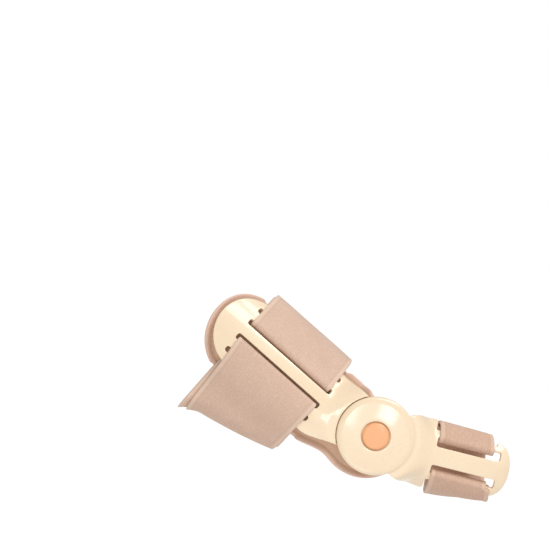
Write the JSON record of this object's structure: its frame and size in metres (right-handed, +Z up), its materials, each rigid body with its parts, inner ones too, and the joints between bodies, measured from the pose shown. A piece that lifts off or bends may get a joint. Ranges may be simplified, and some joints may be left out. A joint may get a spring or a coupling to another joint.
{
  "type": "hinged bunion splint",
  "caption": "Two slotted curved plates joined by a flat round hinge, with a cloth-covered pad behind and wide cloth straps folded through the slots round foot and big toe.",
  "frame": {"origin": "on the hinge axis, at the pad's inner face, where the ball of the foot sits", "axes": "+X forward to the toes, +Y across the foot to its outer side, along the hinge axis, +Z up from the sole"},
  "size_m": [0.163, 0.0927, 0.0713],
  "materials": {
    "cream_plastic": "smooth moulded, glossy",
    "orange_plastic": "smooth moulded, satin",
    "strap_cloth": "brushed loop cloth, matt",
    "pad_cloth": "cloth over thin foam, matt"
  },
  "bodies": {
    "splint": {"rear_plate": "cream_plastic", "hinge_button": "orange_plastic", "foot_pad": "pad_cloth", "foot_strap": "strap_cloth"},
    "toe": {"toe_plate": "cream_plastic", "toe_strap": "strap_cloth"}
  },
  "joints": [
    {"name": "toe_hinge", "type": "hinge", "parent": "splint", "child": "toe", "pos_m": [0, 0, 0], "axis": [0, -1, 0], "range_deg": [-35, 40]}
  ]
}
